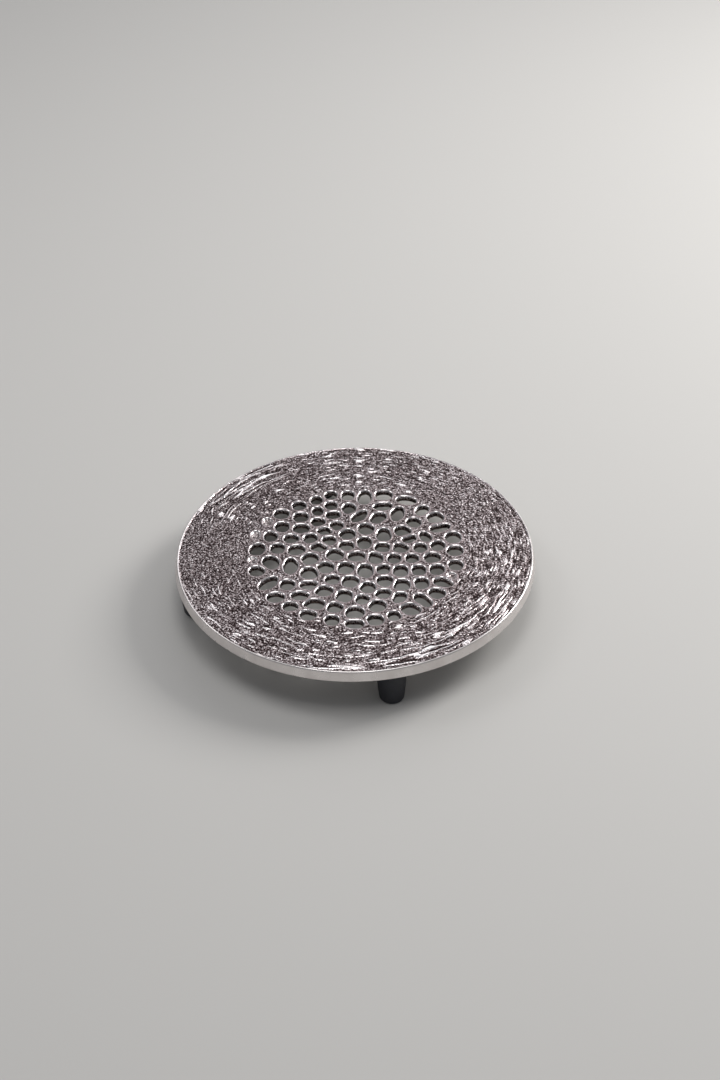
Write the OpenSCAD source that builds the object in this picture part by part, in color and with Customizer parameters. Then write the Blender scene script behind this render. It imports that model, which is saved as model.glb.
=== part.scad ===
// Round cast trivet: one rough plate with a pierced centre on four tapered rubber feet.
// Millimetres, +Z up, the table at z = 0, the plate's middle over the origin.

/* [Plate] */
// Outside diameter of the plate, over the foot of its side
plate_d = 205; // [170:1:260]
// How far the side leans out from the top's edge to its foot
side_flare = 1; // [0.4:0.1:2]
// Height of the plate's top above the table
stand_h = 27.5; // [25:0.5:40]
// Height of the turned-down rim
rim_h = 6.1; // [5.6:0.1:8]
// Width of the rim, seen from below
rim_w = 6; // [4.5:0.1:9]
// Thickness of the plate inside the rim
skin_t = 4; // [3.2:0.1:4.6]

/* [Pierced centre] */
// Least width of the web between two holes
web_w = 2; // [1.4:0.1:3]
// Flat sides of each hole
hole_sides = 20; // [16:2:24]
// Depth of the pits that were never pierced
pit_depth = 1.8; // [1:0.1:2.6]

/* [Feet] */
// Diameter of a foot where it meets the plate
foot_top_d = 16; // [15:0.1:19]
// Diameter of a foot at the table
foot_base_d = 13.6; // [13.2:0.1:14.8]
// Rounding of a foot's lower edge
foot_round_r = 1.6; // [0.8:0.1:2]
// Gap between a foot and the plate's outer edge
foot_inset = 1.3; // [1.3:0.1:6]
// Rubber between the washer and the plate
foot_grip_h = 11.6; // [9:0.1:13]

/* [Fasteners] */
// Diameter of the screws
screw_d = 3.5; // [3:0.1:4]
// Depth to which a screw bites into its boss
screw_bite_h = 3.6; // [3:0.1:4]
// Diameter of a screw's head
head_d = 6.9; // [6.4:0.1:7.2]
// Height of a screw's head
head_h = 2.4; // [2:0.1:2.6]
// Diameter of the washers
washer_d = 7.6; // [7.4:0.1:8]
// Thickness of the washers
washer_t = 0.8; // [0.6:0.1:1]

/* [Hidden] */
$fn = 96;

// Heights
plate_r = plate_d / 2;
face_r = plate_r - side_flare;
rim_z = stand_h - rim_h;
skin_z = stand_h - skin_t;
overrun = 1;

// Plate's edges and the fillet inside the rim
top_edge_r = 0.8;
low_edge_r = 0.6;
inner_edge_r = 0.6;
rim_fillet_r = (rim_h - skin_t) / 2;
edge_steps = 6;

// Feet: the circle that they stand on and the first one's direction
foot_count = 4;
side_steps = 8;
first_foot_angle = 11.3;
foot_circle_r = plate_r - foot_inset - foot_top_d / 2;

// Bosses under the rim, one over each foot, whose seats stand a little proud of it
boss_ledge = 0.3;
boss_draft = 0.4;
boss_proud = 0.4;
boss_d = foot_top_d + 2 * boss_ledge;
pad_z = rim_z - boss_proud;
boss_top_z = stand_h - skin_t / 2;
thread_gap = 0.1;
hole_end_gap = 0.4;
hole_cone_share = 0.2;

// Recess inside a foot
washer_gap = 0.3;
shank_gap = 0.35;
recess_d = washer_d + 2 * washer_gap;
seat_z = pad_z - foot_grip_h;
head_z = seat_z - washer_t;
screw_l = washer_t + foot_grip_h + screw_bite_h;
tapped_h = screw_bite_h + hole_end_gap;

// Screw's tip, dome and cross recess
tip_share = 0.18;
dome_share = 0.55;
cross_w = 0.9;
cross_l = 4.2;
cross_h = 1.3;

// Pierced centre. Each row is one hole: its place across and away, its half width and half
// length, all as shares of the top's radius, and its turn in degrees.
hole_shares = [
    [-0.135, 0.520, 0.036, 0.042, 0],
    [-0.035, 0.515, 0.038, 0.045, 0],
    [0.063, 0.493, 0.042, 0.070, -8],
    [0.174, 0.510, 0.052, 0.048, 0],
    [-0.218, 0.475, 0.036, 0.042, 0],
    [0.305, 0.455, 0.060, 0.040, -15],
    [-0.320, 0.427, 0.040, 0.040, 0],
    [-0.135, 0.423, 0.036, 0.045, 0],
    [-0.030, 0.390, 0.040, 0.052, 0],
    [0.167, 0.403, 0.056, 0.040, 10],
    [-0.210, 0.372, 0.032, 0.046, 0],
    [0.248, 0.330, 0.038, 0.080, -10],
    [0.393, 0.355, 0.036, 0.052, -25],
    [-0.420, 0.350, 0.045, 0.045, 0],
    [-0.123, 0.333, 0.044, 0.038, 0],
    [-0.308, 0.317, 0.045, 0.048, 0],
    [0.030, 0.315, 0.035, 0.070, -32],
    [0.138, 0.297, 0.040, 0.065, -32],
    [0.465, 0.285, 0.048, 0.053, 0],
    [-0.209, 0.270, 0.042, 0.042, 0],
    [0.340, 0.245, 0.042, 0.048, 0],
    [-0.414, 0.230, 0.042, 0.050, 0],
    [-0.104, 0.230, 0.040, 0.045, 0],
    [-0.304, 0.213, 0.050, 0.046, 0],
    [0.066, 0.195, 0.047, 0.057, 0],
    [-0.168, 0.187, 0.045, 0.038, -10],
    [0.487, 0.190, 0.062, 0.036, 20],
    [0.275, 0.170, 0.048, 0.050, 0],
    [-0.477, 0.145, 0.038, 0.050, 0],
    [-0.040, 0.150, 0.046, 0.050, 0],
    [0.165, 0.137, 0.042, 0.064, 0],
    [-0.360, 0.120, 0.043, 0.043, 0],
    [-0.250, 0.119, 0.041, 0.048, 0],
    [-0.146, 0.096, 0.041, 0.045, 0],
    [0.557, 0.098, 0.045, 0.054, 0],
    [0.401, 0.110, 0.034, 0.050, 20],
    [0.309, 0.095, 0.052, 0.032, 40],
    [0.054, 0.069, 0.042, 0.060, 0],
    [-0.047, 0.045, 0.045, 0.046, 0],
    [-0.549, 0.030, 0.042, 0.058, -15],
    [-0.434, 0.035, 0.043, 0.047, 0],
    [-0.202, 0.040, 0.048, 0.042, 0],
    [-0.330, 0.018, 0.052, 0.048, 0],
    [0.156, 0.024, 0.045, 0.047, 0],
    [0.258, 0.018, 0.046, 0.048, 0],
    [0.368, 0.014, 0.038, 0.046, 0],
    [0.468, 0.029, 0.042, 0.047, 0],
    [0.561, -0.018, 0.045, 0.048, 0],
    [-0.110, -0.032, 0.050, 0.054, 0],
    [-0.251, -0.063, 0.047, 0.055, 0],
    [0.009, -0.052, 0.052, 0.046, 0],
    [0.115, -0.070, 0.041, 0.060, 10],
    [0.219, -0.077, 0.038, 0.047, 0],
    [0.318, -0.079, 0.037, 0.042, 0],
    [0.431, -0.077, 0.047, 0.048, 0],
    [-0.470, -0.088, 0.046, 0.062, 15],
    [-0.358, -0.122, 0.040, 0.076, 0],
    [-0.165, -0.144, 0.051, 0.050, 0],
    [-0.051, -0.151, 0.048, 0.054, 0],
    [0.055, -0.178, 0.046, 0.066, 0],
    [0.156, -0.169, 0.040, 0.046, 0],
    [0.557, -0.147, 0.040, 0.046, 0],
    [-0.545, -0.160, 0.043, 0.045, 0],
    [0.250, -0.187, 0.044, 0.054, 0],
    [0.352, -0.183, 0.040, 0.048, 0],
    [0.453, -0.181, 0.042, 0.050, 0],
    [-0.252, -0.187, 0.050, 0.056, 0],
    [-0.475, -0.268, 0.040, 0.068, -42],
    [-0.125, -0.248, 0.042, 0.040, 0],
    [-0.028, -0.268, 0.050, 0.054, 0],
    [0.163, -0.270, 0.047, 0.052, 0],
    [-0.373, -0.284, 0.042, 0.044, 0],
    [-0.254, -0.291, 0.052, 0.038, 0],
    [0.252, -0.305, 0.047, 0.055, 0],
    [0.363, -0.295, 0.040, 0.052, 0],
    [0.480, -0.290, 0.056, 0.042, -20],
    [0.068, -0.322, 0.045, 0.050, 0],
    [-0.173, -0.342, 0.051, 0.046, 0],
    [-0.062, -0.390, 0.046, 0.054, 0],
    [-0.434, -0.388, 0.048, 0.042, 0],
    [-0.302, -0.378, 0.052, 0.036, 0],
    [0.150, -0.375, 0.046, 0.040, 15],
    [0.238, -0.408, 0.036, 0.052, -20],
    [0.440, -0.383, 0.046, 0.045, 0],
    [0.037, -0.420, 0.040, 0.042, 0],
    [0.363, -0.437, 0.038, 0.064, 35],
    [-0.353, -0.465, 0.041, 0.038, 0],
    [-0.223, -0.453, 0.062, 0.046, 0],
    [-0.114, -0.482, 0.045, 0.044, 0],
    [0.115, -0.475, 0.048, 0.052, 0],
    [0.293, -0.508, 0.055, 0.048, -15],
    [-0.006, -0.527, 0.052, 0.050, 0],
    [-0.256, -0.536, 0.043, 0.043, 0],
    [-0.128, -0.585, 0.038, 0.042, 10],
    [0.103, -0.590, 0.045, 0.044, 0],
    [0.204, -0.560, 0.036, 0.038, 0],
    [-0.008, -0.618, 0.052, 0.036, -5]
];

// The four pits at the edge of the field, in the same form
pit_shares = [
    [-0.500, 0.280, 0.024, 0.036, 0],
    [-0.563, 0.160, 0.024, 0.038, 0],
    [-0.572, -0.066, 0.022, 0.026, 0],
    [0.530, -0.240, 0.022, 0.028, 0]
];

cells = concat(hole_shares, pit_shares);
corner_power = 9;
own_power = 2.05;
near_share = 0.26;

// How far a cell's own oval reaches in a direction
function own_share(c, a) =
    let (u = abs(cos(a - c[4])) / c[2], v = abs(sin(a - c[4])) / c[3])
    pow(pow(u, own_power) + pow(v, own_power), -1 / own_power);

// The cells beside one cell, each with its direction and the share of the gap kept clear
function neighbours(c) = [
    for (n = cells)
        let (dx = n[0] - c[0], dy = n[1] - c[1], gap = norm([dx, dy]))
        if (gap > 0 && gap < near_share)
            let (
                a = atan2(dy, dx),
                mine = own_share(c, a),
                other = own_share(n, a + 180),
                room = gap - web_w / face_r
            )
            [a, mine * room / (mine + other)]
];

// Directions add up as a sum of powers, which rounds the corner where two limits meet
function crowd(a, near) = [
    for (n = near)
        pow(max(0, cos(a - n[0])) / n[1], corner_power)
];

function total(list) = list * [for (i = list) 1];

function reach(c, near, a) =
    pow(pow(1 / own_share(c, a), corner_power) + total(crowd(a, near)), -1 / corner_power);

function cell_outline(c) =
    let (near = neighbours(c))
    [
        for (i = [0 : hole_sides - 1])
            let (a = 360 * i / hole_sides, r = face_r * reach(c, near, a))
            [face_r * c[0] + r * cos(a), face_r * c[1] + r * sin(a)]
    ];

// Points of an arc round a middle, for profiles
function arc(x, z, r, from, to) = [
    for (i = [0 : edge_steps])
        let (a = from + (to - from) * i / edge_steps)
        [x + r * cos(a), z + r * sin(a)]
];

function foot_angle(i) = first_foot_angle + 360 * i / foot_count;

module at_foot(i) {
    rotate([0, 0, foot_angle(i)])
        translate([foot_circle_r, 0, 0])
            children();
}

// Half section of the casting, from the axis out to the rim and back along the top
module plate_profile() {
    rim_in = plate_r - rim_w;
    low = [plate_r - low_edge_r, rim_z + low_edge_r];
    top = [face_r - top_edge_r, stand_h - top_edge_r];
    way = top - low;
    // The side is the line that touches both roundings
    lean = atan2(-way[0], way[1]) - asin((top_edge_r - low_edge_r) / norm(way));
    polygon(concat(
        [[0, skin_z]],
        arc(rim_in - rim_fillet_r, skin_z - rim_fillet_r, rim_fillet_r, 90, 0),
        arc(rim_in + inner_edge_r, rim_z + inner_edge_r, inner_edge_r, 180, 270),
        arc(low[0], low[1], low_edge_r, -90, lean),
        arc(top[0], top[1], top_edge_r, lean, 90),
        [[0, stand_h]]
    ));
}

module cell_prisms(table, from) {
    translate([0, 0, from])
        linear_extrude(stand_h - from + overrun)
            for (c = table)
                polygon(cell_outline(c));
}

module boss() {
    translate([0, 0, pad_z])
        cylinder(d1 = boss_d, d2 = boss_d + 2 * boss_draft, h = boss_top_z - pad_z);
}

module tapped_hole() {
    hole_d = screw_d + 2 * thread_gap;
    translate([0, 0, pad_z - overrun])
        cylinder(d = hole_d, h = tapped_h + overrun);
    translate([0, 0, pad_z + tapped_h])
        cylinder(d1 = hole_d, d2 = 0, h = hole_d * hole_cone_share);
}

module top_plate() {
    color("#6d6863")
        difference() {
            union() {
                rotate_extrude()
                    plate_profile();
                for (i = [0 : foot_count - 1])
                    at_foot(i) boss();
            }
            cell_prisms(hole_shares, rim_z);
            cell_prisms(pit_shares, stand_h - pit_depth);
            for (i = [0 : foot_count - 1])
                at_foot(i) tapped_hole();
        }
}

// Foot with a rounded lower edge and a side that swells out less and less on its way up
module foot_shape() {
    base_r = foot_base_d / 2;
    spread = foot_top_d / 2 - base_r;
    difference() {
        rotate_extrude()
            polygon(concat(
                [[0, 0]],
                arc(base_r - foot_round_r, foot_round_r, foot_round_r, -90, 0),
                [
                    for (i = [1 : side_steps])
                        let (up = i / side_steps)
                        [base_r + spread * up * (2 - up), foot_round_r + (pad_z - foot_round_r) * up]
                ],
                [[0, pad_z]]
            ));
        translate([0, 0, -overrun])
            cylinder(d = recess_d, h = seat_z + overrun);
        translate([0, 0, -overrun])
            cylinder(d = screw_d + 2 * shank_gap, h = pad_z + 2 * overrun);
    }
}

module foot(i) {
    color("#1d2024")
        at_foot(i) foot_shape();
}

module washer(i) {
    color("#a9abad")
        at_foot(i)
            translate([0, 0, head_z])
                difference() {
                    cylinder(d = washer_d, h = washer_t);
                    translate([0, 0, -overrun])
                        cylinder(d = screw_d + shank_gap, h = washer_t + 2 * overrun);
                }
}

// Half section of a pan head screw: the head is domed on the driver's side
module screw_profile() {
    dome_h = head_h * dome_share;
    flat_r = head_d / 2 - dome_h;
    shank_r = screw_d / 2;
    tip = screw_d * tip_share;
    translate([0, head_z])
        polygon(concat(
            [[0, -head_h]],
            arc(flat_r, dome_h - head_h, dome_h, -90, 0),
            [[head_d / 2, 0], [shank_r, 0], [shank_r, screw_l - tip]],
            [[shank_r - tip, screw_l], [0, screw_l]]
        ));
}

module cross_recess() {
    translate([0, 0, head_z - head_h])
        for (turn = [0, 90])
            rotate([0, 0, turn])
                translate([-cross_l / 2, -cross_w / 2, -overrun])
                    cube([cross_l, cross_w, cross_h + overrun]);
}

module screw(i) {
    color("#b9bbbd")
        at_foot(i)
            difference() {
                rotate_extrude()
                    screw_profile();
                cross_recess();
            }
}

module foot_right() { foot(0); }
module foot_back() { foot(1); }
module foot_left() { foot(2); }
module foot_front() { foot(3); }
module washer_right() { washer(0); }
module washer_back() { washer(1); }
module washer_left() { washer(2); }
module washer_front() { washer(3); }
module screw_right() { screw(0); }
module screw_back() { screw(1); }
module screw_left() { screw(2); }
module screw_front() { screw(3); }

top_plate();
foot_right();
foot_back();
foot_left();
foot_front();
washer_right();
washer_back();
washer_left();
washer_front();
screw_right();
screw_back();
screw_left();
screw_front();
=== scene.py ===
"""The trivet dressed for its photograph: a cast, pierced plate on four rubber feet.

The plate's mesh is worked out in millimetres, on the solid's own outlines, and handed to
Blender in metres. Feet, washers and screws show as the solids themselves.
"""

import math

import bpy
import numpy as np
from mathutils import Matrix, Vector, kdtree
from mathutils.geometry import delaunay_2d_cdt


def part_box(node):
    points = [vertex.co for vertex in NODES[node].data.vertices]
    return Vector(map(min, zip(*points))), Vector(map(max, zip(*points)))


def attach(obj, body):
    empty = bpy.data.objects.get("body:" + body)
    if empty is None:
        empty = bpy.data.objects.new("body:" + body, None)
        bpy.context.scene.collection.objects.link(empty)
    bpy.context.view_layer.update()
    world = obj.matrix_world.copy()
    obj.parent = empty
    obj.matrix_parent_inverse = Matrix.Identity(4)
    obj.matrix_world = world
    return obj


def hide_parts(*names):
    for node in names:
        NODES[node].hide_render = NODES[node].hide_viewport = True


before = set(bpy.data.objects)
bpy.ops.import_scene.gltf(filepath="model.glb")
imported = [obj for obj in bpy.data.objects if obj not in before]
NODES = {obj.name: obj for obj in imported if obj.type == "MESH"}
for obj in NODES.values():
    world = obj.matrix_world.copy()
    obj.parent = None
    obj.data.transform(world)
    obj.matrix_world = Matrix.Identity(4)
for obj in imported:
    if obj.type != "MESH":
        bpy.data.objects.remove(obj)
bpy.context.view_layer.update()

MM = 0.001
SIDES = ("right", "back", "left", "front")

# Sizes that the solid gives, in millimetres
PLATE_LOW, PLATE_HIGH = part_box("top_plate")
PLATE_R = (PLATE_HIGH.x - PLATE_LOW.x) / 2 / MM
TOP_Z = PLATE_HIGH.z / MM
PAD_Z = PLATE_LOW.z / MM

# Sizes that the solid was made with
SIDE_FLARE = 1.0
RIM_H = 6.1
RIM_W = 6.0
SKIN_T = 4.0
PIT_DEPTH = 1.8
EDGE_R = 0.8
LOW_EDGE_R = 0.6
BOSS_R = 8.3
TAPPED_R = 1.85
TAPPED_H = 4.0
TAPPED_CONE = 0.74
FACE_R = PLATE_R - SIDE_FLARE
FLAT_R = FACE_R - EDGE_R
RIM_Z = TOP_Z - RIM_H
SKIN_Z = TOP_Z - SKIN_T

# The holes lie inside this radius, each smaller than this area in square millimetres, and
# this distance counts as far from them
FIELD_R = 0.70 * FACE_R
HOLE_AREA_MAX = 1000
FAR = 3.0

# Spacing of the mesh's points
STEP = 0.42
UNDER_STEP = 1.3
GRID_JITTER = 0.35
TOP_GRID_SEED = 41
FINE_GRID_SEED = 43
COARSE_GRID_SEED = 44
RIM_COLUMNS = 1440
BORE_COLUMNS = 28
ARC_STEPS = 6

# Edges of the holes: the slope and rounding above, the rounding below, and how far from
# the edge the rings of points lie
WEB_SLOPE_W = 1.05
WEB_SLOPE_H = 0.48
WEB_SLOPE_CURVE = 1.5
WEB_ROUND = 0.32
WEB_RINGS = (0.04, 0.13, 0.27, 0.48, 0.78, 1.15)
LOW_ROUND = 0.6
LOW_RINGS = (0.12, 0.34, 0.66)

# Walls of the holes: how much they narrow downwards, bulge into the hole and are rough
WALL_DRAFT = 0.3
WALL_BELLY = 0.12
WALL_ROUGH = 0.26

# Where rings of points lie: shares of a wall's height, and of a pit's width
WALL_SHARES = (0.10, 0.22, 0.36, 0.52, 0.74)
PIT_SHARES = (0.86, 0.68, 0.45, 0.2)

# Noises: wave lengths across and along, in millimetres, and a seed
WANDER_WAVE = (20, 20, 3)
WAVER_WAVE = (6, 6, 4)
BREAK_WAVE = (6, 24, 14)
LINE_WAVE = (3.1, 60, 11)
DASH_WAVE = (1.6, 10, 12)
THREAD_WAVE = (1.05, 9, 15)
DOT_WAVE = (0.9, 0.9, 22)
GRAIN_WAVE = (0.8, 0.8, 21)
SWELL_WAVE = (9, 9, 24)
WEB_WAVE = (4, 4, 42)
UNDER_WAVE = (7, 7, 45)
PIT_WAVE = (0.9, 0.9, 52)

# How far the wrinkles stray from circles round the rim, in millimetres
WANDER_H = 1.4
WAVER_H = 0.45

# Values of a noise at which a mark begins and is full
BREAK_RISE = (-0.30, 0.0)
LINE_RISE = (-0.20, -0.05)
DASH_RISE = (0.34, 0.52)
DOT_RISE = (0.38, 0.64)

# Shares by which marks give way to one another
DASH_LOSS_ON_LINE = 0.8
GRAIN_LOSS_ON_FOLD = 0.85
DOT_LOSS_AMONG_DASHES = 0.4

# The cast top in millimetres: how deep its ground lies, the least depth, and how high the
# marks rise from the ground
CAST_DEPTH = 0.60
LEAST_DEPTH = 0.02
FOLD_RANGE = (-0.5, 1)
FOLD_H = 0.40
THREAD_H = 0.16
RIDGE_H_RANGE = (-0.3, 0.44)
DOT_H = 0.12
GRAIN_H = 0.09
SWELL_H = 0.05

# Distances over which the webs, the holes' edges with their wear and painted highlight, and the
# plate's edge take over from the plain casting, in millimetres
WEB_ZONE = (0.5, 2.4)
HOLE_EDGE_WEAR_AND_HIGHLIGHT_ZONE = (0.38, 0.86)
RIM_ZONE_W = 1.0

# Shares by which a web takes its own wear and loses grain, depth and marks, and how uneven
# its slope is
WEB_WORN_SHARE = 0.75
WEB_GRAIN_LOSS = 0.85
WEB_DEPTH_LOSS = 0.6
WEB_MARK_LOSS = 0.92
WEB_UNEVEN = 0.15

# How worn the plating is, from 0 in a pore to 0.7 and more where it is bright; on the holes' edges
# it also carries a painted highlight
GROUND_WORN = 0.25
FOLD_WORN = 0.62
THREAD_WORN = 0.36
DOT_WORN = 0.38
GRAIN_WORN = 0.14
WEB_WORN = 0.43
# The holes' edges: worn, and brightened further as a painted highlight
HOLE_EDGE_WEAR_AND_HIGHLIGHT = 0.88
RIM_WORN = 0.75
WALL_WORN = 0.44
PIT_WORN = 0.5
UNDER_WORN = 0.45
BORE_WORN = 0.3
SIDE_WORN = 0.8

# Where the shader's scale of depth, which sets the painted shade down the holes, ends, in
# millimetres, which the whole underside counts as
UNDER_DEPTH = 6.0

# How much of the fine grain the walls of the holes show
WALL_GRAIN = 2.0

# Where each kind of wrinkle lies: middle and half width in degrees, the shares of the
# radius at which it begins and is full, and its strength
LONG_PLACES = (
    (-88, 58, 0.84, 0.89, 1.0),
    (-36, 34, 0.77, 0.85, 0.85),
    (138, 30, 0.77, 0.85, 1.0),
)
SHORT_PLACES = (
    (-97, 72, 0.56, 0.62, 1.0),
    (-25, 56, 0.58, 0.66, 0.6),
    (86, 52, 0.56, 0.64, 0.9),
    (136, 38, 0.58, 0.68, 1.0),
    (-145, 36, 0.62, 0.70, 0.7),
)
STREAK_PLACES = (
    (-15, 80, 0.58, 0.66, 1.0),
    (70, 60, 0.60, 0.68, 0.6),
)

# Material slots of the plate
CAST, SATIN, UNDER = 0, 1, 2

# The plate's map lays the top in its left half and the underside in its right half
MAP_SPAN = 2 * (PLATE_R + 10)
TOP_MAP_X = 0.25
UNDER_MAP_X = 0.75

# The photograph's camera, fitted to the plate's outline: its place as shares of the top's
# radius from the top's middle, its angles in degrees, and its focal length in pixels
CAMERA_AT = (0.0304, -6.9097, 5.5798)
CAMERA_PITCH = 38.57
CAMERA_ROLL = 1.267
FOCAL_PX = 1581.5
PHOTO_H_PX = 1080
SENSOR = 36
CAMERA_NEAR = 0.01

# The stage: a pale floor, an even sky and four soft lamps, with place, size, power and
# colour of each
FLOOR_HALF = 4.0
FLOOR_COLOUR = (0.57, 0.56, 0.545, 1)
FLOOR_ROUGHNESS = 0.65
SKY_COLOUR = (0.80, 0.82, 0.85, 1)
SKY_STRENGTH = 0.3
LAMP_TARGET = (0, 0, 0)
LAMPS = (
    ("window", (1.05, 0.62, 0.80), (0.50, 0.60), 14.5, (1.0, 0.985, 0.96)),
    ("ceiling", (0.0, -0.05, 1.25), (0.50, 0.75), 3.8, (1.0, 0.99, 0.98)),
    ("fill", (-0.85, 0.50, 1.15), (0.45, 0.45), 2.0, (1.0, 0.99, 0.99)),
    ("wall", (0.35, 1.6, 1.15), (1.5, 1.2), 6.5, (1.0, 0.99, 0.99)),
)


class Ring:
    """Numbers of a mesh's points along a closed ring, and the points' heights."""

    def __init__(self, rows, z):
        self.rows = rows
        self.z = z


def unit_hash(ix, iy, seed):
    """A fixed number from 0 to 1 for each lattice point, mixed with primes in 32 bits."""
    span = 2**32
    word = np.uint64(span - 1)
    h = ix.astype(np.uint64) * np.uint64(374761393) + iy.astype(np.uint64) * np.uint64(668265263)
    h = (h + np.uint64(seed * 2654435761 % span)) & word
    h = ((h ^ (h >> np.uint64(13))) * np.uint64(1274126177)) & word
    return ((h ^ (h >> np.uint64(16))) & word).astype(float) / span


def noise(x, y, seed):
    """Smooth gradient noise, roughly from -1 to 1, with a period of about 1."""
    gain, shift = 1.5, 4096
    ix, iy = np.floor(x), np.floor(y)
    fx, fy = x - ix, y - iy

    # The shift keeps the lattice's numbers above 0
    ix, iy = (ix + shift).astype(np.int64), (iy + shift).astype(np.int64)
    ux = fx * fx * fx * (fx * (fx * 6 - 15) + 10)
    uy = fy * fy * fy * (fy * (fy * 6 - 15) + 10)

    def corner(i, j):
        angle = unit_hash(ix + i, iy + j, seed) * 2 * math.pi
        return np.cos(angle) * (fx - i) + np.sin(angle) * (fy - j)

    low_row = corner(0, 0) * (1 - ux) + corner(1, 0) * ux
    high_row = corner(0, 1) * (1 - ux) + corner(1, 1) * ux
    return (low_row * (1 - uy) + high_row * uy) * gain


def waves(x, y, wave):
    """The noise that a row of two wave lengths and a seed names."""
    across, along, seed = wave
    return noise(x / across, y / along, seed)


def smoothstep(a, b, x):
    """From 0 at a to 1 at b, with a soft start and end."""
    t = np.clip((x - a) / (b - a), 0, 1)
    return t * t * (3 - 2 * t)


def cad_loops(node, z):
    """Outlines of a node's flat faces at one height, each a row of points in millimetres."""
    cells_per_mm, flat_within = 200, 0.01
    mesh = node.data
    mesh.calc_loop_triangles()
    points = np.empty(len(mesh.vertices) * 3)
    mesh.vertices.foreach_get("co", points)
    points = points.reshape(-1, 3) / MM
    corners = np.empty(len(mesh.loop_triangles) * 3, np.int32)
    mesh.loop_triangles.foreach_get("vertices", corners)

    # Corners that share a cell are one point
    keys = np.round(points * cells_per_mm).astype(np.int64)
    _, first, same = np.unique(keys, axis=0, return_index=True, return_inverse=True)
    tris = same.reshape(-1)[corners.reshape(-1, 3)]
    flat = np.abs(points[first][:, 2][tris] - z).max(axis=1) < flat_within

    # An edge that two triangles share isn't on the outline
    ahead = {}
    for a, b, c in tris[flat]:
        for edge in ((a, b), (b, c), (c, a)):
            if (edge[1], edge[0]) in ahead:
                del ahead[(edge[1], edge[0])]
            else:
                ahead[edge] = True
    following = {a: b for a, b in ahead}
    loops = []
    while following:
        start, here = next(iter(following.items()))
        del following[start]
        chain = [start]
        while here != start:
            chain.append(here)
            here = following.pop(here)
        loops.append(points[first][chain][:, :2])
    return loops


def loop_area(loop):
    """Area inside a loop, below 0 where the loop runs clockwise."""
    x, y = loop[:, 0], loop[:, 1]
    return 0.5 * np.sum(x * np.roll(y, -1) - np.roll(x, -1) * y)


def smooth_loop(loop, step):
    """The same outline as a smooth closed curve, anticlockwise, through evenly spread points."""
    highest_order, samples, least_count = 7, 720, 20
    if loop_area(loop) < 0:
        loop = loop[::-1]
    z = loop[:, 0] + 1j * loop[:, 1]
    n = len(z)
    parts = np.fft.fft(z) / n
    orders = np.fft.fftfreq(n, 1 / n)
    parts[np.abs(orders) > highest_order] = 0

    def at(t):
        turns = np.exp(2j * math.pi * orders[None, :] * t[:, None])
        return (parts[None, :] * turns).sum(axis=1)

    dense = at(np.arange(samples) / samples)
    lengths = np.abs(np.diff(np.append(dense, dense[0])))
    way = np.concatenate([[0], np.cumsum(lengths)])
    count = max(least_count, int(round(way[-1] / step)))
    even = np.arange(count) * way[-1] / count
    z = at(np.interp(even, way, np.arange(samples + 1) / samples))
    return np.stack([z.real, z.imag], axis=1)


def normals_of(loop):
    """Outward normals of an anticlockwise loop."""
    along = np.roll(loop, -1, axis=0) - np.roll(loop, 1, axis=0)
    along /= np.linalg.norm(along, axis=1)[:, None]
    return np.stack([along[:, 1], -along[:, 0]], axis=1)


class Edges:
    """Distance from points to the nearest of some loops."""

    def __init__(self, loops):
        self.points = np.concatenate(loops)
        self.ahead = np.concatenate([np.roll(loop, -1, axis=0) for loop in loops])
        self.behind = np.concatenate([np.roll(loop, 1, axis=0) for loop in loops])
        self.tree = kdtree.KDTree(len(self.points))
        for i, (x, y) in enumerate(self.points.tolist()):
            self.tree.insert((x, y, 0.0), i)
        self.tree.balance()

    def distance(self, where):
        """Distances up to FAR, which is also what points outside the pierced field get."""
        found = np.full(len(where), FAR)
        places = np.flatnonzero(np.hypot(where[:, 0], where[:, 1]) < FIELD_R)
        if not len(places):
            return found
        p = where[places]
        rows = np.array([self.tree.find((x, y, 0.0))[1] for x, y in p.tolist()], np.int64)
        a = self.points[rows]
        best = np.full(len(places), FAR)
        for b in (self.ahead[rows], self.behind[rows]):
            side = b - a
            t = np.clip(((p - a) * side).sum(axis=1) / (side * side).sum(axis=1), 0, 1)
            best = np.minimum(best, np.hypot(*(p - a - t[:, None] * side).T))
        found[places] = best
        return found


def inside_loops(where, loops):
    """True for each point that lies inside one of the loops."""
    result = np.zeros(len(where), bool)
    for loop in loops:
        lo, hi = loop.min(axis=0), loop.max(axis=0)
        rows = np.flatnonzero(((where > lo) & (where < hi)).all(axis=1))
        if not len(rows):
            continue
        p = where[rows]
        a, b = loop, np.roll(loop, -1, axis=0)
        crosses = (a[:, 1] > p[:, 1:2]) != (b[:, 1] > p[:, 1:2])
        across, up = b[:, 0] - a[:, 0], b[:, 1] - a[:, 1]
        with np.errstate(divide="ignore", invalid="ignore"):
            at = across * (p[:, 1:2] - a[:, 1]) / up + a[:, 0]
        result[rows] |= (crosses & (p[:, :1] < at)).sum(axis=1) % 2 == 1
    return result


def hex_grid(radius, step, seed):
    """Points spread evenly over a disc, each moved a little off its place."""
    rows = int(radius / (step * math.sqrt(3) / 2)) + 2
    columns = int(radius / step) + 2
    i, j = np.meshgrid(np.arange(-columns, columns + 1), np.arange(-rows, rows + 1))
    x = (i + 0.5 * (j % 2)).ravel() * step
    y = j.ravel() * step * math.sqrt(3) / 2
    k = np.arange(len(x))
    x = x + (unit_hash(k, np.zeros_like(k), seed) - 0.5) * step * GRID_JITTER
    y = y + (unit_hash(k, np.ones_like(k), seed) - 0.5) * step * GRID_JITTER
    keep = np.hypot(x, y) < radius
    return np.stack([x, y], axis=1)[keep]


def circle(x, y, r, count):
    """Points of an anticlockwise circle."""
    a = np.arange(count) * 2 * math.pi / count
    return np.stack([x + r * np.cos(a), y + r * np.sin(a)], axis=1)


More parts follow.
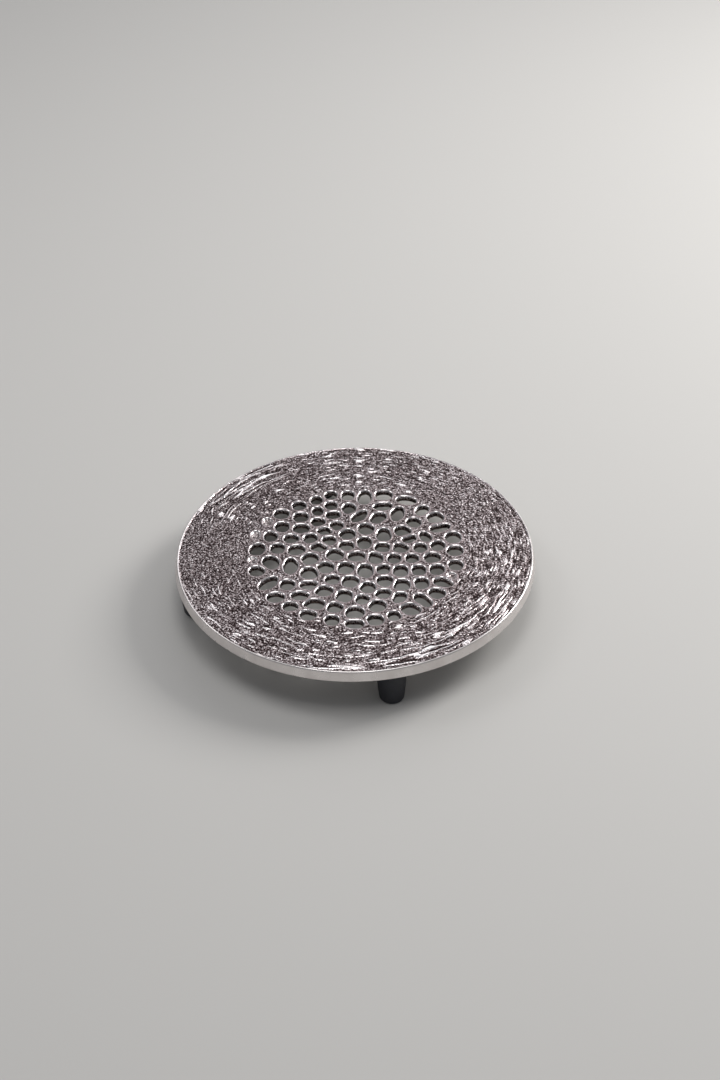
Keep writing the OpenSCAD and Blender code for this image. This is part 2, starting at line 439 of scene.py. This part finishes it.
def triangulate(outline, holes, inner):
    """Triangles over the area inside outline and outside holes, anticlockwise.

    The points keep the order outline, holes, inner.
    """
    tiny = 1e-7
    points = np.concatenate([outline] + holes + [inner])
    edges, start = [], 0
    for loop in [outline] + holes:
        n = len(loop)
        edges += [(start + i, start + (i + 1) % n) for i in range(n)]
        start += n
    vectors = [Vector(p) for p in points.tolist()]
    out, _, faces, *_ = delaunay_2d_cdt(vectors, edges, [], 0, tiny, False)
    if len(out) != len(points):
        raise RuntimeError("the triangulation merged or split points")
    faces = np.array([f for f in faces if len(f) == 3], np.int64)
    middle = points[faces].mean(axis=1)
    solid = ~inside_loops(middle, holes)
    solid &= np.hypot(middle[:, 0], middle[:, 1]) < np.hypot(outline[:, 0], outline[:, 1]).max()
    faces = faces[solid]
    a, b, c = (points[faces[:, i]] for i in range(3))
    turn = (b[:, 0] - a[:, 0]) * (c[:, 1] - a[:, 1]) - (b[:, 1] - a[:, 1]) * (c[:, 0] - a[:, 0])
    faces[turn < 0] = faces[turn < 0][:, ::-1]
    return points, faces[np.abs(turn) > tiny]


def lobe(angle, middle, half):
    """From 1 at an angle to 0 at half a width away, in degrees."""
    full_share = 0.35
    off = np.abs((angle - middle + 180) % 360 - 180)
    return smoothstep(half, half * full_share, off)


def patches(angle, share, places):
    """Strength of a kind of wrinkle at an angle and a share of the radius."""
    found = [
        strength * lobe(angle, middle, half) * smoothstep(begin, full, share)
        for middle, half, begin, full, strength in places
    ]
    return np.maximum.reduce(found)


def crest(wave, foot, top):
    """A ridge of height 1 where a noise rises from foot to top, with a groove along its foot."""
    groove_depth, groove_off, groove_half = 0.46, 0.07, 0.08
    groove = np.exp(-(((wave - foot + groove_off) / groove_half) ** 2))
    return smoothstep(foot, top, wave) - groove_depth * groove


def cast_surface(x, y):
    """The rough top: its depth in millimetres, its wear and how much grain it shows."""
    r = np.hypot(x, y)
    angle = np.degrees(np.arctan2(y, x))
    share = r / FACE_R
    wander = r + WANDER_H * waves(x, y, WANDER_WAVE) + WAVER_H * waves(x, y, WAVER_WAVE)
    way = np.radians(angle) * FACE_R
    short_strength = patches(angle, share, SHORT_PLACES)

    # Long lines and short dashes, which run round the rim
    breaks = smoothstep(*BREAK_RISE, waves(wander, way, BREAK_WAVE))
    lines = crest(-np.abs(waves(wander, way, LINE_WAVE)), *LINE_RISE)
    lines = lines * breaks * patches(angle, share, LONG_PLACES)
    dashes = crest(waves(wander, way, DASH_WAVE), *DASH_RISE)
    dashes = dashes * short_strength * (1 - DASH_LOSS_ON_LINE * np.clip(lines, 0, 1))
    folds = np.clip(lines + dashes, *FOLD_RANGE)

    # Fine threads, dots and grain, which fade on a fold
    calm = 1 - GRAIN_LOSS_ON_FOLD * np.clip(folds, 0, 1)
    threads = waves(wander, way, THREAD_WAVE) * patches(angle, share, STREAK_PLACES) * calm
    dots = smoothstep(*DOT_RISE, waves(x, y, DOT_WAVE)) * calm
    dots = dots * (1 - DOT_LOSS_AMONG_DASHES * short_strength)
    grain = waves(x, y, GRAIN_WAVE) * calm

    height = np.clip(FOLD_H * folds + THREAD_H * threads, *RIDGE_H_RANGE)
    height = height + DOT_H * dots + GRAIN_H * grain + SWELL_H * waves(x, y, SWELL_WAVE)
    depth = np.maximum(CAST_DEPTH - height, LEAST_DEPTH)
    wear_and_highlight = GROUND_WORN + GRAIN_WORN * grain + FOLD_WORN * folds
    wear_and_highlight = wear_and_highlight + THREAD_WORN * threads + DOT_WORN * dots
    return depth, wear_and_highlight, calm


def round_drop(distance, radius):
    """How far a rounded edge lies below its flat, at a distance from the wall."""
    t = np.clip(radius - distance, 0, radius)
    return radius - np.sqrt(np.maximum(radius * radius - t * t, 0))


def web_drop(distance):
    """How far the top drops beside a hole: a soft slope that ends in a small round edge."""
    near = np.clip(1 - distance / WEB_SLOPE_W, 0, 1)
    return WEB_SLOPE_H * near**WEB_SLOPE_CURVE + round_drop(distance, WEB_ROUND)


def lift(flat, z):
    """Flat points at a height, or each at its own."""
    return np.column_stack([flat, np.broadcast_to(z, len(flat))])


def plate_map(xy, middle_x):
    """Places on the plate's map, in the half whose middle is given."""
    return np.stack([middle_x + xy[:, 0] / (2 * MAP_SPAN), 0.5 + xy[:, 1] / (2 * MAP_SPAN)], axis=1)


class Shell:
    """Vertices, faces and per-vertex values of one mesh, gathered piece by piece.

    The values are the metal's wear with the painted highlight on the holes' edges, its depth in
    millimetres, which the shader turns into painted shade, and how much of the fine grain it shows.
    """

    def __init__(self):
        self.points, self.faces, self.slots, self.maps = [], [], [], []
        self.values = {"wear_and_highlight": [], "depth": [], "grain": []}
        self.count = 0

    def add_points(self, points, wear_and_highlight, depth, grain, uv):
        """Adds points and returns their numbers."""
        n = len(points)
        self.points.append(np.asarray(points, float))
        for label, value in (("wear_and_highlight", wear_and_highlight), ("depth", depth), ("grain", grain)):
            self.values[label].append(np.broadcast_to(np.asarray(value, float), (n,)))
        self.maps.append(np.asarray(uv, float))
        self.count += n
        return np.arange(self.count - n, self.count)

    def add_faces(self, faces, slot):
        """Adds triangles or quads, given as rows of point numbers."""
        faces = np.asarray(faces, np.int64)
        if faces.shape[1] == 3:
            faces = np.concatenate([faces, np.full((len(faces), 1), -1)], axis=1)
        self.faces.append(faces)
        self.slots.append(np.full(len(faces), slot))

    def add_band(self, first, second, slot):
        """Quads between two rings: outward if the first is the higher one, else inward."""
        after_first, after_second = np.roll(first, -1), np.roll(second, -1)
        self.add_faces(np.stack([first, second, after_second, after_first], axis=1), slot)

    def add_fan(self, starts, ends, tip, slot):
        """Triangles from the edges of a ring to one point."""
        self.add_faces(np.column_stack([starts, ends, np.full(len(starts), tip)]), slot)

    def build(self, name, materials):
        """The finished mesh as an object in the scene."""
        faces = np.concatenate(self.faces)
        sizes = np.where(faces[:, 3] < 0, 3, 4)
        corners = faces.ravel()
        corners = corners[corners >= 0]
        points = np.concatenate(self.points) * MM
        mesh = bpy.data.meshes.new(name)
        mesh.vertices.add(len(points))
        mesh.vertices.foreach_set("co", points.ravel())
        mesh.loops.add(len(corners))
        mesh.loops.foreach_set("vertex_index", corners)
        mesh.polygons.add(len(faces))
        mesh.polygons.foreach_set("loop_start", np.concatenate([[0], np.cumsum(sizes)[:-1]]))
        mesh.polygons.foreach_set("loop_total", sizes)
        for material in materials:
            mesh.materials.append(material)
        mesh.polygons.foreach_set("material_index", np.concatenate(self.slots))
        mesh.polygons.foreach_set("use_smooth", np.ones(len(faces), bool))
        for label, values in self.values.items():
            layer = mesh.attributes.new(label, "FLOAT", "POINT")
            layer.data.foreach_set("value", np.concatenate(values))
        uv_layer = mesh.uv_layers.new(name="OFBake")
        uv_layer.uv.foreach_set("vector", np.concatenate(self.maps)[corners].ravel())
        mesh.update()
        mesh.validate()
        piece = bpy.data.objects.new(name, mesh)
        bpy.context.scene.collection.objects.link(piece)
        return piece


def foot_middles():
    """Where the four feet stand, which is also where the bosses hang."""
    middles = []
    for side in SIDES:
        a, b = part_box("foot_" + side)
        middles.append(((a.x + b.x) / 2 / MM, (a.y + b.y) / 2 / MM))
    return middles


def rings_round(loops, edges, offsets):
    """Points beside each hole at set distances, left out where another hole is nearer."""
    least_share, cell_share = 0.93, 0.5
    rows = []
    for offset in offsets:
        ring = np.concatenate([loop + normals_of(loop) * offset for loop in loops])
        rows.append(ring[edges.distance(ring) > offset * least_share])
    rings = np.concatenate(rows)

    # Of the points that share a cell only the first stays
    cell = np.round(rings / (STEP * cell_share)).astype(np.int64)
    _, first = np.unique(cell, axis=0, return_index=True)
    return rings[np.sort(first)]


def rough_loops(loops):
    """Hole outlines with the small unevenness of a casting."""
    bend_h, bend_l, bend_seed = 0.16, 2.6, 31
    nick_h, nick_l, nick_seed = 0.07, 1.1, 32
    uneven = []
    for k, loop in enumerate(loops):
        x, y = loop[:, 0], loop[:, 1]
        bend = bend_h * noise(x / bend_l + k, y / bend_l, bend_seed)
        nick = nick_h * noise(x / nick_l, y / nick_l + k, nick_seed)
        uneven.append(loop - normals_of(loop) * (bend + nick)[:, None])
    return uneven


def openings():
    """Outlines of the plate's holes and of its pits, from the solid."""
    pit_within = 1
    plate = NODES["top_plate"]
    outlines = [
        smooth_loop(loop, STEP)
        for loop in cad_loops(plate, TOP_Z)
        if np.abs(loop_area(loop)) < HOLE_AREA_MAX
    ]
    floors = [loop.mean(axis=0) for loop in cad_loops(plate, TOP_Z - PIT_DEPTH)]
    holes, pits = [], []
    for loop in rough_loops(outlines):
        nearest_floor = min(math.dist(loop.mean(axis=0), floor) for floor in floors)
        (pits if nearest_floor < pit_within else holes).append(loop)
    return holes, pits


def loop_rings(rows, z, loops):
    """A ring for each loop, where the loops' points follow one another."""
    ends = np.cumsum([len(loop) for loop in loops])
    return [Ring(rows[e - len(loop) : e], z[e - len(loop) : e]) for e, loop in zip(ends, loops)]


def add_top(shell, loops):
    """The rough top. Returns the numbers of its outer ring, and a ring for each loop."""
    side_margin, web_margin = STEP * 0.8, STEP * 0.55
    outer = circle(0, 0, FLAT_R, RIM_COLUMNS)
    edges = Edges(loops)
    grid = hex_grid(FLAT_R - side_margin, STEP, TOP_GRID_SEED)
    grid = grid[edges.distance(grid) > WEB_RINGS[-1] + web_margin]
    grid = grid[~inside_loops(grid, loops)]
    inner = np.concatenate([rings_round(loops, edges, WEB_RINGS), grid])
    points, faces = triangulate(outer, loops, inner)
    n = len(outer)
    distance = edges.distance(points)
    distance[n : n + sum(len(loop) for loop in loops)] = 0

    x, y = points[:, 0], points[:, 1]
    depth, wear_and_highlight, grain = cast_surface(x, y)
    on_web = 1 - smoothstep(*WEB_ZONE, distance)
    edge_wear_and_highlight = 1 - smoothstep(*HOLE_EDGE_WEAR_AND_HIGHLIGHT_ZONE, distance)
    at_rim = smoothstep(FLAT_R - RIM_ZONE_W, FLAT_R, np.hypot(x, y))
    wear_and_highlight = wear_and_highlight + (WEB_WORN - wear_and_highlight) * WEB_WORN_SHARE * on_web
    # Painted highlight on the holes' edges, laid over their wear
    wear_and_highlight = wear_and_highlight + (HOLE_EDGE_WEAR_AND_HIGHLIGHT - wear_and_highlight) * edge_wear_and_highlight
    wear_and_highlight = wear_and_highlight * (1 - at_rim) + RIM_WORN * at_rim
    grain = grain * (1 - WEB_GRAIN_LOSS * np.maximum(on_web, at_rim))
    marks = (depth - CAST_DEPTH) * (1 - WEB_MARK_LOSS * on_web)
    depth = CAST_DEPTH * (1 - WEB_DEPTH_LOSS * on_web) + marks
    depth = depth * (1 - at_rim)
    z = TOP_Z - depth - web_drop(distance) * (1 + WEB_UNEVEN * waves(x, y, WEB_WAVE))

    rows = shell.add_points(lift(points, z), wear_and_highlight, TOP_Z - z, grain, plate_map(points, TOP_MAP_X))
    shell.add_faces(rows[faces], CAST)
    return rows[:n], loop_rings(rows[n:], z[n:], loops)


def boss_distance(points, middles):
    """Distance from points to the nearest boss's axis."""
    return np.min([np.hypot(points[:, 0] - x, points[:, 1] - y) for x, y in middles], axis=0)


def under_grid(edges, lows, middles):
    """Points for the underside, fine beside the rim and the bosses and coarse elsewhere."""
    rim_zone, rim_zone_half = 0.8, 1.1
    boss_zone, boss_zone_half = 0.6, 1.0
    margin, bore_margin, side_margin = UNDER_STEP * 0.35, UNDER_STEP * 0.5, UNDER_STEP * 0.6

    def off_rim(points):
        r = np.hypot(points[:, 0], points[:, 1])
        return np.abs(PLATE_R - RIM_W - r - rim_zone)

    def off_boss(points):
        return np.abs(boss_distance(points, middles) - BOSS_R - boss_zone)

    fine = hex_grid(PLATE_R - LOW_EDGE_R - STEP, STEP, FINE_GRID_SEED)
    fine = fine[(off_rim(fine) < rim_zone_half) | (off_boss(fine) < boss_zone_half)]
    coarse = hex_grid(PLATE_R - LOW_EDGE_R - side_margin, UNDER_STEP, COARSE_GRID_SEED)
    away = off_rim(coarse) > rim_zone_half + margin
    away &= off_boss(coarse) > boss_zone_half + margin
    away &= boss_distance(coarse, middles) > TAPPED_R + bore_margin
    away &= edges.distance(coarse) > LOW_RINGS[-1] + margin
    coarse = coarse[away & ~inside_loops(coarse, lows)]
    return np.concatenate([fine, coarse])


def add_underside(shell, lows, bores, middles):
    """Rim, skin and bosses from below.

    Returns the numbers of the outer ring, and a ring for each hole and each bore.
    """
    rim_fillet_w, boss_fillet_w = 1.5, 1.2
    swell_h, swell_worn, swell_from_boss, swell_from_side = 0.05, 2, (0.5, 4), (2.0, 6.0)
    outer = circle(0, 0, PLATE_R - LOW_EDGE_R, RIM_COLUMNS)
    edges = Edges(lows)
    grid = under_grid(edges, lows, middles)
    inner = np.concatenate([rings_round(lows, edges, LOW_RINGS), grid])
    points, faces = triangulate(outer, lows + bores, inner)
    n = len(outer)
    distance = edges.distance(points)
    distance[n : n + sum(len(loop) for loop in lows)] = 0

    x, y = points[:, 0], points[:, 1]
    r = np.hypot(x, y)
    gap = boss_distance(points, middles) - BOSS_R
    rim = RIM_Z + (SKIN_Z - RIM_Z) * smoothstep(0, rim_fillet_w, PLATE_R - RIM_W - r)
    boss = PAD_Z + (SKIN_Z - PAD_Z) * smoothstep(0, boss_fillet_w, gap)
    swell = swell_h * waves(x, y, UNDER_WAVE) * smoothstep(*swell_from_boss, gap)
    swell = swell * smoothstep(*swell_from_side, PLATE_R - r)
    z = np.minimum(rim, boss) + swell + round_drop(distance, LOW_ROUND)
    z[:n] = RIM_Z

    wear_and_highlight = UNDER_WORN + swell_worn * swell
    uv = plate_map(points, UNDER_MAP_X)
    rows = shell.add_points(lift(points, z), wear_and_highlight, UNDER_DEPTH, 1.0, uv)
    shell.add_faces(rows[faces[:, ::-1]], UNDER)
    rings = loop_rings(rows[n:], z[n:], lows + bores)
    return rows[:n], rings[: len(lows)], rings[len(lows) :]


def add_wall(shell, k, loop, upper, lower):
    """The uneven wall of hole k, from its edge above to its edge below."""
    rough_l, rough_shift, rough_seed, map_shrink = 1.4, 6, 51, 0.5
    middle = loop.mean(axis=0)
    outward = normals_of(loop)
    above = upper.rows
    for share in WALL_SHARES:
        belly = WALL_DRAFT * share + WALL_BELLY * math.sin(math.pi * share)
        across = loop[:, 0] / rough_l + rough_shift * share
        along = loop[:, 1] / rough_l + k
        rough = WALL_ROUGH * noise(across, along, rough_seed)
        ring = loop - outward * (belly + rough)[:, None]
        z = upper.z + (lower.z - upper.z) * share
        uv = plate_map(middle + (loop - middle) * (1 - map_shrink * share), TOP_MAP_X)
        below = shell.add_points(lift(ring, z), WALL_WORN, TOP_Z - z, WALL_GRAIN, uv)
        shell.add_band(below, above, CAST)
        above = below
    shell.add_band(lower.rows, above, CAST)


def add_pit(shell, loop, upper):
    """A shallow dish inside a pit's edge, flatter than in the solid."""
    depth_share, rough_h, tip_drop = 0.35, 0.06, 0.03
    middle = loop.mean(axis=0)
    above = upper.rows
    for share in PIT_SHARES:
        depth = PIT_DEPTH * (1 - share * share)
        ring = middle + (loop - middle) * share
        z = upper.z - depth_share * depth
        z = z + rough_h * waves(ring[:, 0], ring[:, 1], PIT_WAVE)
        uv = plate_map(ring, TOP_MAP_X)
        below = shell.add_points(lift(ring, z), PIT_WORN, TOP_Z - z, 1.0, uv)
        shell.add_band(below, above, CAST)
        above = below
    tip_z = float(z.mean()) - tip_drop
    uv = plate_map(middle[None, :], TOP_MAP_X)
    tip = shell.add_points([[*middle, tip_z]], PIT_WORN, TOP_Z - tip_z, 1.0, uv)
    shell.add_fan(above, np.roll(above, -1), tip, CAST)


def add_bore(shell, middle, mouth):
    """A screw hole in a boss, with the cone that the drill leaves."""
    map_share = 0.6
    x, y = middle
    below = mouth.rows
    cone_z = PAD_Z + TAPPED_H
    for share, z in ((1.0, cone_z), (0.5, cone_z + TAPPED_CONE / 2)):
        ring = circle(x, y, TAPPED_R * share, BORE_COLUMNS)
        uv = plate_map(circle(x, y, TAPPED_R * share * map_share, BORE_COLUMNS), UNDER_MAP_X)
        above = shell.add_points(lift(ring, z), BORE_WORN, UNDER_DEPTH, 1.0, uv)
        shell.add_band(below, above, UNDER)
        below = above
    uv = plate_map(np.array([[x, y]]), UNDER_MAP_X)
    tip = shell.add_points([[x, y, cone_z + TAPPED_CONE]], BORE_WORN, UNDER_DEPTH, 1.0, uv)
    shell.add_fan(np.roll(below, -1), below, tip, UNDER)


def arc(middle, radius, first, last):
    """Points of an arc between two angles in degrees, without its first point."""
    turns = [math.radians(first + (last - first) * i / ARC_STEPS) for i in range(1, ARC_STEPS + 1)]
    return [(middle[0] + radius * math.cos(t), middle[1] + radius * math.sin(t)) for t in turns]


def side_profile():
    """Radius and height of the rings over the top's edge, down the side and round its foot."""
    top = (FLAT_R, TOP_Z - EDGE_R)
    low = (PLATE_R - LOW_EDGE_R, RIM_Z + LOW_EDGE_R)
    slant = math.degrees(math.asin((EDGE_R - LOW_EDGE_R) / math.dist(low, top)))
    lean = math.degrees(math.atan2(low[0] - top[0], top[1] - low[1])) - slant
    turn = math.radians(lean)
    foot = (low[0] + LOW_EDGE_R * math.cos(turn), low[1] + LOW_EDGE_R * math.sin(turn))
    profile = arc(top, EDGE_R, 90, lean)
    head = profile[-1]
    for i in range(1, ARC_STEPS + 1):
        r = head[0] + (foot[0] - head[0]) * i / ARC_STEPS
        z = head[1] + (foot[1] - head[1]) * i / ARC_STEPS
        profile.append((r, z))
    return profile + arc(low, LOW_EDGE_R, lean, -90)


def add_side(shell, rim_top, rim_under):
    """The filed side, with faint flats, between the top's outer ring and the underside's."""
    dent_h, dents_round, dent_l, dent_seed = 0.012, 16, 2.5, 61
    ease_rings, map_step = 3, 0.5
    a = np.arange(RIM_COLUMNS) * 2 * math.pi / RIM_COLUMNS
    profile = side_profile()
    last = len(profile) - 1
    above = rim_top
    for i, (r, z) in enumerate(profile[:-1]):
        ease = smoothstep(0, ease_rings, i) * smoothstep(last, last - ease_rings, i)
        flats = noise(a * dents_round, np.full_like(a, z / dent_l), dent_seed)
        dent = dent_h * (1 + flats) * ease
        ring = np.stack([(r - dent) * np.cos(a), (r - dent) * np.sin(a)], axis=1)
        map_r = FLAT_R + map_step * (i + 1)
        uv = plate_map(np.stack([map_r * np.cos(a), map_r * np.sin(a)], axis=1), TOP_MAP_X)
        below = shell.add_points(lift(ring, z), SIDE_WORN, 0.0, 1.0, uv)
        shell.add_band(above, below, SATIN)
        above = below
    shell.add_band(above, rim_under, SATIN)


def make_plate():
    """The cast plate as one closed shell, in place of the solid."""
    holes, pits = openings()
    middles = foot_middles()
    bores = [circle(x, y, TAPPED_R, BORE_COLUMNS) for x, y in middles]
    lows = [loop - normals_of(loop) * WALL_DRAFT for loop in holes]
    shell = Shell()
    rim_top, uppers = add_top(shell, holes + pits)
    rim_under, lowers, mouths = add_underside(shell, lows, bores, middles)
    for k, loop in enumerate(holes):
        add_wall(shell, k, loop, uppers[k], lowers[k])
    for loop, upper in zip(pits, uppers[len(holes) :]):
        add_pit(shell, loop, upper)
    for middle, mouth in zip(middles, mouths):
        add_bore(shell, middle, mouth)
    add_side(shell, rim_top, rim_under)
    piece = shell.build("plate", [cast_metal(), satin_metal(), under_metal()])
    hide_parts("top_plate")
    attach(piece, "root")


def new_material(name):
    """A material with its node tree and its shader."""
    material = bpy.data.materials.new(name)
    material.use_nodes = True
    tree = material.node_tree
    return material, tree, tree.nodes["Principled BSDF"]


def add_node(tree, kind, **inputs):
    """A node with some of its inputs set."""
    node = tree.nodes.new(kind)
    for label, value in inputs.items():
        node.inputs[label].default_value = value
    return node


def grey(v):
    """A colour without a hue."""
    return (v, v, v)


def ramp(tree, source, stops):
    """A colour that follows a number, from rows of place and colour."""
    node = tree.nodes.new("ShaderNodeValToRGB")
    node.color_ramp.elements.remove(node.color_ramp.elements[1])
    for i, (at, colour) in enumerate(stops):
        elements = node.color_ramp.elements
        stop = elements[0] if i == 0 else elements.new(at)
        stop.position = at
        stop.color = (*colour, 1)
    tree.links.new(source, node.inputs["Fac"])
    return node.outputs["Color"]


def noise_node(tree, scale, detail, rough):
    """A noise that is fixed to the object."""
    place = tree.nodes.new("ShaderNodeTexCoord")
    node = add_node(tree, "ShaderNodeTexNoise", Scale=scale, Detail=detail, Roughness=rough)
    tree.links.new(place.outputs["Object"], node.inputs["Vector"])
    return node.outputs["Fac"]


def attribute(tree, name):
    """A value that the mesh holds for each vertex."""
    node = tree.nodes.new("ShaderNodeAttribute")
    node.attribute_name = name
    return node.outputs["Fac"]


def math_node(tree, operation, a, b):
    """An operation on a link and on a second link or a number."""
    node = tree.nodes.new("ShaderNodeMath")
    node.operation = operation
    tree.links.new(a, node.inputs[0])
    if isinstance(b, float):
        node.inputs[1].default_value = b
    else:
        tree.links.new(b, node.inputs[1])
    return node.outputs[0]


def multiply(tree, a, b):
    """The product of two colours."""
    node = tree.nodes.new("ShaderNodeMix")
    node.data_type = "RGBA"
    node.blend_type = "MULTIPLY"
    sockets = {socket.name: socket for socket in node.inputs if socket.enabled}
    sockets["Factor"].default_value = 1.0
    tree.links.new(a, sockets["A"])
    tree.links.new(b, sockets["B"])
    return next(socket for socket in node.outputs if socket.enabled)


def bump(tree, shader, height, strength, distance):
    """Makes the shader's surface follow a height, with a distance in metres."""
    node = add_node(tree, "ShaderNodeBump", Strength=strength, Distance=distance)
    tree.links.new(height, node.inputs["Height"])
    tree.links.new(node.outputs["Normal"], shader.inputs["Normal"])


def cast_metal():
    """Dark plated casting: rubbed bright on its ridges, with a painted highlight on its holes'
    edges, dark in its pores and darkened by painted shade down its holes.
    """
    material, tree, shader = new_material("cast_metal")
    shader.inputs["Metallic"].default_value = 1.0
    noise_middle, speck_wear, speck_strength, speck_depth = 0.5, 1.6, 0.9, 0.0004
    pore, ground, rubbed, bright = 0.04, 0.24, 0.46, 0.70
    speck = noise_node(tree, scale=1250, detail=0.5, rough=0.5)
    speck = math_node(tree, "SUBTRACT", speck, noise_middle)
    speck = math_node(tree, "MULTIPLY", speck, attribute(tree, "grain"))
    speck_worn = math_node(tree, "MULTIPLY", speck, speck_wear)
    wear_and_highlight = math_node(tree, "ADD", attribute(tree, "wear_and_highlight"), speck_worn)
    tones = (
        (pore, (0.022, 0.013, 0.013)),
        (ground, (0.112, 0.083, 0.085)),
        (rubbed, (0.45, 0.385, 0.395)),
        (bright, (0.96, 0.92, 0.935)),
    )
    blotch = noise_node(tree, scale=55, detail=4, rough=0.6)
    patina = ramp(tree, blotch, ((0.35, (0.82, 0.80, 0.79)), (0.65, grey(1.0))))
    colour = multiply(tree, ramp(tree, wear_and_highlight, tones), patina)
    down = math_node(tree, "DIVIDE", attribute(tree, "depth"), UNDER_DEPTH)
    # Painted shade: the colour darkens with depth below the top, most down the holes' walls
    painted_depth_shade = ramp(tree, down, ((0.12, grey(1.0)), (0.42, (0.26, 0.21, 0.19))))
    tree.links.new(multiply(tree, colour, painted_depth_shade), shader.inputs["Base Color"])
    rough = ramp(tree, wear_and_highlight, ((0.2, grey(0.36)), (0.7, grey(0.16))))
    tree.links.new(rough, shader.inputs["Roughness"])
    bump(tree, shader, speck, speck_strength, speck_depth)
    return material


def mottled(name, metallic, mottle, tones, roughness, grain, grain_strength, grain_depth):
    """A finish whose tone and roughness drift with one noise, with a grain from another.

    Mottle and grain are scale, detail and roughness of a noise, and tones and roughness
    give the values where the first noise is low and high.
    """
    material, tree, shader = new_material(name)
    shader.inputs["Metallic"].default_value = metallic
    low, high = 0.3, 0.7
    drift = noise_node(tree, *mottle)
    tone = ramp(tree, drift, ((low, tones[0]), (high, tones[1])))
    tree.links.new(tone, shader.inputs["Base Color"])
    rough = ramp(tree, drift, ((low, grey(roughness[0])), (high, grey(roughness[1]))))
    tree.links.new(rough, shader.inputs["Roughness"])
    bump(tree, shader, noise_node(tree, *grain), grain_strength, grain_depth)
    return material


def satin_metal():
    """The plate's side, filed smooth and plated."""
    return mottled(
        "satin_metal",
        metallic=1.0,
        mottle=(90, 4, 0.6),
        tones=((0.68, 0.635, 0.62), (0.80, 0.76, 0.75)),
        roughness=(0.34, 0.24),
        grain=(1300, 3, 0.6),
        grain_strength=0.25,
        grain_depth=0.00008,
    )


def under_metal():
    """The underside as it left the sand, plated but never polished."""
    return mottled(
        "under_metal",
        metallic=1.0,
        mottle=(70, 5, 0.6),
        tones=((0.33, 0.31, 0.295), (0.47, 0.45, 0.43)),
        roughness=(0.58, 0.46),
        grain=(750, 4, 0.65),
        grain_strength=0.7,
        grain_depth=0.0003,
    )


def black_rubber():
    """The feet's matt rubber."""
    return mottled(
        "black_rubber",
        metallic=0.0,
        mottle=(260, 4, 0.6),
        tones=((0.009, 0.010, 0.014), (0.017, 0.018, 0.025)),
        roughness=(0.50, 0.62),
        grain=(2600, 3, 0.6),
        grain_strength=0.3,
        grain_depth=0.00008,
    )


def zinc_plate():
    """Bright zinc on washers and screws."""
    return mottled(
        "zinc_plate",
        metallic=1.0,
        mottle=(420, 3, 0.6),
        tones=((0.56, 0.57, 0.60), (0.70, 0.71, 0.73)),
        roughness=(0.26, 0.38),
        grain=(420, 3, 0.6),
        grain_strength=0.2,
        grain_depth=0.00005,
    )


def dress_solids():
    """Gives the feet, washers and screws their materials."""
    rubber = black_rubber()
    zinc = zinc_plate()
    for side in SIDES:
        for node, material in (("foot_", rubber), ("washer_", zinc), ("screw_", zinc)):
            NODES[node + side].data.materials.clear()
            NODES[node + side].data.materials.append(material)


def make_camera():
    """The camera at the photograph's viewing angle."""
    place = Vector(CAMERA_AT) * (FACE_R * MM) + Vector((0, 0, TOP_Z * MM))
    pitch, roll = math.radians(CAMERA_PITCH), math.radians(CAMERA_ROLL)
    forward = Vector((0, math.cos(pitch), -math.sin(pitch)))
    level = Vector((1, 0, 0))
    down = Vector((0, -math.sin(pitch), -math.cos(pitch)))
    right = level * math.cos(roll) + down * math.sin(roll)
    down = down * math.cos(roll) - level * math.sin(roll)
    turn = Matrix((right, -down, -forward)).transposed().to_4x4()
    data = bpy.data.cameras.new("camera")
    data.sensor_width = SENSOR
    data.lens = SENSOR * FOCAL_PX / PHOTO_H_PX
    data.clip_start = CAMERA_NEAR
    camera = bpy.data.objects.new("camera", data)
    camera.matrix_world = Matrix.Translation(place) @ turn
    bpy.context.scene.collection.objects.link(camera)
    bpy.context.scene.camera = camera


def area_light(name, place, size, power, colour):
    """A soft lamp that looks at the trivet."""
    data = bpy.data.lights.new(name, "AREA")
    data.shape = "RECTANGLE"
    data.size, data.size_y = size
    data.energy = power
    data.color = colour
    light = bpy.data.objects.new(name, data)
    light.location = place
    toward = Vector(LAMP_TARGET) - Vector(place)
    light.rotation_euler = toward.to_track_quat("-Z", "Y").to_euler()
    bpy.context.scene.collection.objects.link(light)


def make_stage():
    """The plain floor, the sky and the lamps."""
    material, _, shader = new_material("floor")
    shader.inputs["Base Color"].default_value = FLOOR_COLOUR
    shader.inputs["Roughness"].default_value = FLOOR_ROUGHNESS
    corners = [(-1, -1), (1, -1), (1, 1), (-1, 1)]
    mesh = bpy.data.meshes.new("floor")
    mesh.from_pydata([(x * FLOOR_HALF, y * FLOOR_HALF, 0) for x, y in corners], [], [(0, 1, 2, 3)])
    mesh.materials.append(material)
    floor = bpy.data.objects.new("floor", mesh)
    bpy.context.scene.collection.objects.link(floor)
    world = bpy.data.worlds.new("world")
    bpy.context.scene.world = world
    world.use_nodes = True
    sky = world.node_tree.nodes["Background"]
    sky.inputs["Color"].default_value = SKY_COLOUR
    sky.inputs["Strength"].default_value = SKY_STRENGTH
    for lamp in LAMPS:
        area_light(*lamp)


make_camera()
make_stage()
make_plate()
dress_solids()

bpy.context.scene.view_settings.view_transform = "Standard"
